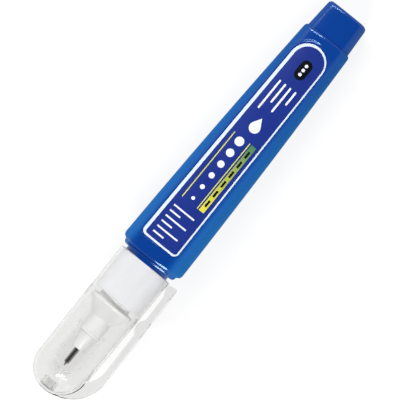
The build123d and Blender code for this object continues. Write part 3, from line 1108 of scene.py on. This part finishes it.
def make_clip():
    """The clip as a block of its side view, with soft edges."""
    shape = bmesh.new()
    outline = clip_outline()
    sides = [[shape.verts.new((p.x, p.y, z)) for p in outline] for z in (-clip_half_width, clip_half_width)]
    for side in sides:
        shape.faces.new(side)
    wall(shape, *sides)
    mesh = bpy.data.meshes.new("clip")
    shape.to_mesh(mesh)
    shape.free()
    mesh.transform(lay)
    clip = tidy_object("clip", mesh)
    soften = clip.modifiers.new("soft edges", "BEVEL")
    soften.width = clip_edge_round * MM
    soften.segments = clip_edge_steps
    soften.limit_method = "ANGLE"
    soften.angle_limit = radians(clip_edge_angle)
    clip.data = plain_mesh(clip)
    return clip


clear = Finish("clear polystyrene", IOR=1.5, Transmission_Weight=1.0)
haze = clear.noise(5)
scuffs = clear.noise(0.5, 3, (0.2, 1, 1))
clear.drive("Base Color", haze.mix(srgb(243, 243, 242), srgb(246, 246, 245)))
clear.drive("Roughness", 0.05 + scuffs * 0.05)
clear.bump(scuffs, 0.004)
clear.fill("ShaderNodeVolumeAbsorption", Color=(0.5, 0.5, 0.49, 1), Density=30)
cap_tube = eased([
    (cap_rim, 0, 0),
    (cap_rim, cap_rim_radius, cap_rim_round),
    (dome_centre, dome_radius, 0),
], closed=False)
cap = turned("clear_cap", cap_tube[:-1] + dome(dome_radius, dome_radius, 0, dome_steps), clear)
combine(cap, "UNION", make_clip(), cap_crease)
hollow = turned("cap_hollow", [
    (cap_rim - hollow_overrun, 0),
    (cap_rim - hollow_overrun, grip_bore),
    (grip_front, grip_bore),
    (grip_front + grip_ramp, cap_bore),
    *dome(cap_bore, cap_bore, boss_radius),
    (boss_rear, boss_radius),
    (boss_rear, boss_hole_radius),
    (boss_rear + boss_hole_depth, boss_hole_radius),
    (boss_rear + boss_hole_depth, 0),
], clear)
combine(cap, "DIFFERENCE", hollow, cap_crease)
clear.dress(cap)
# Light falls through the clear plastic on what it covers
cap.visible_shadow = False
cap.visible_diffuse = False
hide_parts("cap")
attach(cap, "capped")

# Inner seal: a thin closed tube of soft milky plastic, its post pressed into the cap's boss. With the cap on,
# it shuts round the nozzle's bead and keeps the tip from drying.
seal_bore = bead_radius + moulded_fit
seal_wall = 0.6
seal_overlap = 2.0
seal_tip_gap = 1.5
seal_mouth = stem_front - seal_overlap
seal_bottom = needle_front + seal_tip_gap
seal_lip = 0.4
seal_lip_width = 0.9
seal_post = 1.3
seal_centre = seal_bottom - seal_bore
seal_outer = seal_bore + seal_wall
post_end = boss_rear + boss_hole_depth
post_join = acos(seal_post / seal_outer)

film_clear = Finish("thin milky film", IOR=1.1, Transmission_Weight=1.0)
veil = film_clear.noise(2)
film_clear.drive("Base Color", veil.mix(srgb(254, 254, 254), srgb(255, 255, 255)))
film_clear.drive("Roughness", 0.03 + veil * 0.05)
film_clear.bump(veil, 0.006)
seal = turned("inner_seal_tube", [
    (seal_mouth, seal_bore),
    (seal_mouth, seal_outer + seal_lip),
    (seal_mouth + seal_lip_width, seal_outer + seal_lip),
    (seal_mouth + seal_lip_width, seal_outer),
    *[(seal_centre + seal_outer * sin(a), seal_outer * cos(a)) for a in spread(0, post_join, 16)],
    (post_end, seal_post),
    (post_end, 0),
    *[(seal_centre + seal_bore * sin(a), seal_bore * cos(a)) for a in spread(pi / 2, 0, 18)],
    (seal_mouth, seal_bore),
], film_clear)
seal.visible_shadow = False
seal.visible_diffuse = False
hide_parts("cap_inner_seal")
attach(seal, "capped")

# Floor: a plain pale sheet of paper under the pen. It looks near white to the camera, in mirrors and through
# clear plastic, and the pen's soft shadow stays on it.
floor_half = 1500
floor_gap = 0.05
floor_grey = 0.55
glow_strength = 1.25
seen_glow = 0.65


def seen_rays(tone):
    """1 for what is seen straight, in a mirror or through clear plastic, 0 for light that falls on things."""
    rays = tone.node("ShaderNodeLightPath")
    kinds = ("Camera", "Transmission", "Glossy")
    direct, through, mirrored = (rays.sibling(f"Is {kind} Ray") for kind in kinds)
    return tone.math("MAXIMUM", tone.math("MAXIMUM", direct, through), mirrored)


floor_mesh = bpy.data.meshes.new("floor")
floor_signs = ((-1, -1), (1, -1), (1, 1), (-1, 1))
floor_corners = [(floor_half * x * MM, floor_half * y * MM, -floor_gap * MM) for x, y in floor_signs]
floor_mesh.from_pydata(floor_corners, [], [(0, 1, 2, 3)])
floor = bpy.data.objects.new("floor", floor_mesh)
bpy.context.scene.collection.objects.link(floor)
paper = Finish("pale floor", Roughness=0.9, Base_Color=(floor_grey, floor_grey, floor_grey, 1))
glow = paper.tone.node("ShaderNodeEmission", None, {"Color": (1, 1, 1, 1), "Strength": glow_strength})
lit = Tone(glow.tree, paper.shader.outputs[0])
sheet = glow.node("ShaderNodeMixShader", None, {0: seen_rays(glow) * seen_glow, 1: lit, 2: glow})
paper.end("Surface", sheet)
floor.data.materials.append(paper.material)

# Camera: a long lens square above the label, leaning a little to the clip's side. The picture's side is 400
# pixels, and the pen's axis runs from one marked pixel to the other.
photo_side = 400
tail_pixel = Vector((348.7, 14.6))
nose_pixel = Vector((43.9, 389.7))
lean = radians(5.5)
lens = 400
sensor = 36
near_limit = 10
pixel_run = nose_pixel - tail_pixel
pixel_size = cap_front * MM / pixel_run.length
heading = atan2(-pixel_run.y, pixel_run.x)
toward = pen_up * cos(lean) + pen_side * sin(lean)
left = toward.cross(pen_axis)
right = pen_axis * cos(heading) - left * sin(heading)
up = pen_axis * sin(heading) + left * cos(heading)
middle_pixel = (tail_pixel + nose_pixel) / 2
offset = Vector((photo_side / 2, photo_side / 2)) - middle_pixel
aim = lay @ Vector((cap_front / 2, 0, 0)) + (right * offset.x - up * offset.y) * pixel_size
distance = photo_side / 2 * pixel_size / (sensor / 2 / lens)
camera_data = bpy.data.cameras.new("camera")
camera_data.lens = lens
camera_data.sensor_width = sensor
camera_data.clip_start = near_limit * MM
camera = bpy.data.objects.new("camera", camera_data)
facing = Matrix((right, up, toward)).transposed().to_4x4()
camera.matrix_world = Matrix.Translation(aim + toward * distance) @ facing
bpy.context.scene.collection.objects.link(camera)
bpy.context.scene.camera = camera

# Studio: a white room that is dim overhead, a soft box beyond the tail and one beyond the nose, so that both
# ends of the barrel catch a streak.
wall_level = 1.0
room_share = 0.74
ceiling_level = 0.08
wall_top = 0.45
ceiling_edge = 0.85
world = bpy.data.worlds.new("white room")
world.use_nodes = True
bpy.context.scene.world = world
sky = Tone(world.node_tree)
background = world.node_tree.nodes["Background"]
background.inputs["Color"].default_value = (1, 1, 1, 1)
direction = sky.node("ShaderNodeTexCoord", output="Generated")
height = sky.node("ShaderNodeSeparateXYZ", None, {0: direction}, output="Z")
level = sky.node("ShaderNodeMapRange", {"interpolation_type": "SMOOTHSTEP"}, {
    "Value": height, "From Min": wall_top, "From Max": ceiling_edge,
    "To Min": wall_level, "To Max": ceiling_level,
})
shown = room_share + seen_rays(sky) * (1 - room_share)
sky.tree.links.new((level * shown).socket, background.inputs["Strength"])

# Each box's place along, beside and above the pen, its length and width, and its power in watts
soft_boxes = {
    "tail soft box": ((-270, -240, 420), (300, 50), 1.6),
    "nose soft box": ((310, 110, 420), (200, 60), 1.4),
}
for name, ((along, beside_pen, above), (length, width), power) in soft_boxes.items():
    lamp = bpy.data.lights.new(name, "AREA")
    lamp.shape = "RECTANGLE"
    lamp.size = length * MM
    lamp.size_y = width * MM
    lamp.energy = power
    reach = (pen_axis * along + pen_side * beside_pen + toward * above) * MM
    holder = bpy.data.objects.new(name, lamp)
    holder.location = aim + reach
    holder.rotation_mode = "QUATERNION"
    holder.rotation_quaternion = (-reach).to_track_quat("-Z", "Y")
    bpy.context.scene.collection.objects.link(holder)
bpy.context.scene.view_settings.view_transform = "Standard"
